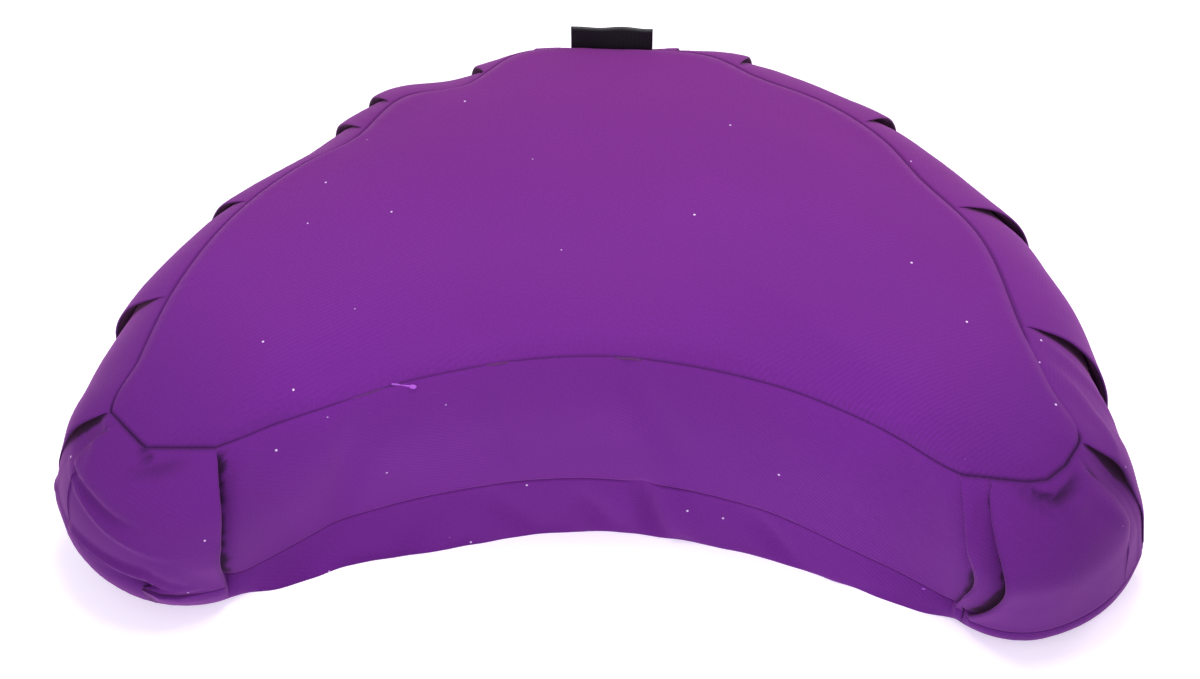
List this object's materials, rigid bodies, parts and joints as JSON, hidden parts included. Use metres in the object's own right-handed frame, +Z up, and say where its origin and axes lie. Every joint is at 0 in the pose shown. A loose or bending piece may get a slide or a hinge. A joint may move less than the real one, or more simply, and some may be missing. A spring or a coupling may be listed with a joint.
{
  "type": "crescent meditation cushion",
  "caption": "Firm crescent floor cushion for meditation: a crowned crescent top, a pleated band round the back, a plain band across the hollow front and a folded label in the back seam.",
  "frame": {"origin": "on the floor, under the middle of the bounding box", "axes": "+X to the right along the crescent's width, +Y from the hollow front to the back, +Z up"},
  "size_m": [0.458, 0.2838, 0.12],
  "materials": {
    "cotton": "dyed cotton twill, matt with a soft sheen at grazing angles",
    "label_tape": "black woven satin tape"
  },
  "bodies": {
    "root": {"cushion": "cotton", "label": "label_tape"}
  },
  "joints": []
}
